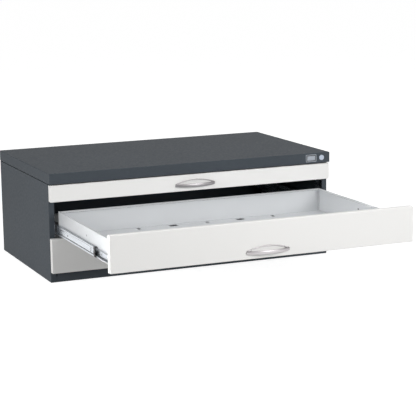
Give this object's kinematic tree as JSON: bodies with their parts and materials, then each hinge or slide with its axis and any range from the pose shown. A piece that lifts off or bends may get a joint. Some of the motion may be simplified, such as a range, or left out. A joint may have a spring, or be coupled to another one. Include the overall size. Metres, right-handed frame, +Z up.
{
  "type": "flat file cabinet",
  "caption": "Low steel plan chest for large flat sheets, with white drawer fronts, bow handles and telescopic slides, one drawer standing open.",
  "frame": {"origin": "on the floor, under the middle of the lid", "axes": "+X to the right seen from the front, +Y to the back, +Z up; drawers pull out along -Y"},
  "size_m": [1.1, 1.294, 0.394],
  "materials": {
    "anthracite_paint": "fine-textured powder coat, satin",
    "white_paint": "smooth powder coat, satin",
    "tray_paint": "smooth powder coat, satin",
    "zinc_steel": "bright zinc plate",
    "handle_satin": "satin",
    "screw_steel": "bright",
    "black_plastic": "matte",
    "label_silver": "satin",
    "badge_plastic": "satin"
  },
  "bodies": {
    "cabinet": {"top_plate": "anthracite_paint", "left_side_panel": "anthracite_paint", "right_side_panel": "anthracite_paint", "back_panel": "anthracite_paint", "base_panel": "anthracite_paint", "plinth_rail": "anthracite_paint", "top_rails": "anthracite_paint", "left_uprights": "zinc_steel", "right_uprights": "zinc_steel", "front_label": "label_silver", "round_badge": "badge_plastic", "body_screws": "screw_steel", "upper_left_outer_member": "zinc_steel", "upper_right_outer_member": "zinc_steel", "middle_left_outer_member": "zinc_steel", "middle_right_outer_member": "zinc_steel", "lower_left_outer_member": "zinc_steel", "lower_right_outer_member": "zinc_steel"},
    "upper_drawer": {"upper_front_panel": "white_paint", "upper_front_liner": "white_paint", "upper_tray_floor": "tray_paint", "upper_tray_left_side": "tray_paint", "upper_tray_right_side": "tray_paint", "upper_tray_rear_wall": "tray_paint", "upper_handle": "handle_satin", "upper_drawer_screws": "screw_steel", "upper_left_inner_member": "zinc_steel", "upper_right_inner_member": "zinc_steel"},
    "upper_middle_members": {"upper_left_middle_member": "zinc_steel", "upper_right_middle_member": "zinc_steel"},
    "upper_outer_cages": {"upper_outer_ball_cages": "black_plastic"},
    "upper_inner_cages": {"upper_inner_ball_cages": "black_plastic"},
    "middle_drawer": {"middle_front_panel": "white_paint", "middle_front_liner": "white_paint", "middle_tray_floor": "tray_paint", "middle_tray_left_side": "tray_paint", "middle_tray_right_side": "tray_paint", "middle_tray_rear_wall": "tray_paint", "middle_handle": "handle_satin", "middle_drawer_screws": "screw_steel", "middle_left_inner_member": "zinc_steel", "middle_right_inner_member": "zinc_steel"},
    "middle_middle_members": {"middle_left_middle_member": "zinc_steel", "middle_right_middle_member": "zinc_steel"},
    "middle_outer_cages": {"middle_outer_ball_cages": "black_plastic"},
    "middle_inner_cages": {"middle_inner_ball_cages": "black_plastic"},
    "lower_drawer": {"lower_front_panel": "white_paint", "lower_front_liner": "white_paint", "lower_tray_floor": "tray_paint", "lower_tray_left_side": "tray_paint", "lower_tray_right_side": "tray_paint", "lower_tray_rear_wall": "tray_paint", "lower_handle": "handle_satin", "lower_drawer_screws": "screw_steel", "lower_left_inner_member": "zinc_steel", "lower_right_inner_member": "zinc_steel"},
    "lower_middle_members": {"lower_left_middle_member": "zinc_steel", "lower_right_middle_member": "zinc_steel"},
    "lower_outer_cages": {"lower_outer_ball_cages": "black_plastic"},
    "lower_inner_cages": {"lower_inner_ball_cages": "black_plastic"}
  },
  "joints": [
    {"name": "upper_drawer_slide", "type": "slide", "parent": "cabinet", "child": "upper_drawer", "axis": [0, -1, 0], "range_m": [0, 0.62]},
    {"name": "upper_middle_members_slide", "type": "slide", "parent": "cabinet", "child": "upper_middle_members", "axis": [0, -1, 0], "range_m": [0, 0.434]},
    {"name": "upper_outer_cages_slide", "type": "slide", "parent": "cabinet", "child": "upper_outer_cages", "axis": [0, -1, 0], "range_m": [0, 0.217]},
    {"name": "upper_inner_cages_slide", "type": "slide", "parent": "cabinet", "child": "upper_inner_cages", "axis": [0, -1, 0], "range_m": [0, 0.527]},
    {"name": "middle_drawer_slide", "type": "slide", "parent": "cabinet", "child": "middle_drawer", "axis": [0, -1, 0], "range_m": [-0.62, 0]},
    {"name": "middle_middle_members_slide", "type": "slide", "parent": "cabinet", "child": "middle_middle_members", "axis": [0, -1, 0], "range_m": [-0.434, 0]},
    {"name": "middle_outer_cages_slide", "type": "slide", "parent": "cabinet", "child": "middle_outer_cages", "axis": [0, -1, 0], "range_m": [-0.217, 0]},
    {"name": "middle_inner_cages_slide", "type": "slide", "parent": "cabinet", "child": "middle_inner_cages", "axis": [0, -1, 0], "range_m": [-0.527, 0]},
    {"name": "lower_drawer_slide", "type": "slide", "parent": "cabinet", "child": "lower_drawer", "axis": [0, -1, 0], "range_m": [0, 0.62]},
    {"name": "lower_middle_members_slide", "type": "slide", "parent": "cabinet", "child": "lower_middle_members", "axis": [0, -1, 0], "range_m": [0, 0.434]},
    {"name": "lower_outer_cages_slide", "type": "slide", "parent": "cabinet", "child": "lower_outer_cages", "axis": [0, -1, 0], "range_m": [0, 0.217]},
    {"name": "lower_inner_cages_slide", "type": "slide", "parent": "cabinet", "child": "lower_inner_cages", "axis": [0, -1, 0], "range_m": [0, 0.527]}
  ],
  "couplings": [
    {"joint": "upper_middle_members_slide", "follows": "upper_drawer_slide", "ratio": 0.7},
    {"joint": "upper_outer_cages_slide", "follows": "upper_drawer_slide", "ratio": 0.35},
    {"joint": "upper_inner_cages_slide", "follows": "upper_drawer_slide", "ratio": 0.85},
    {"joint": "middle_middle_members_slide", "follows": "middle_drawer_slide", "ratio": 0.7},
    {"joint": "middle_outer_cages_slide", "follows": "middle_drawer_slide", "ratio": 0.35},
    {"joint": "middle_inner_cages_slide", "follows": "middle_drawer_slide", "ratio": 0.85},
    {"joint": "lower_middle_members_slide", "follows": "lower_drawer_slide", "ratio": 0.7},
    {"joint": "lower_outer_cages_slide", "follows": "lower_drawer_slide", "ratio": 0.35},
    {"joint": "lower_inner_cages_slide", "follows": "lower_drawer_slide", "ratio": 0.85}
  ]
}
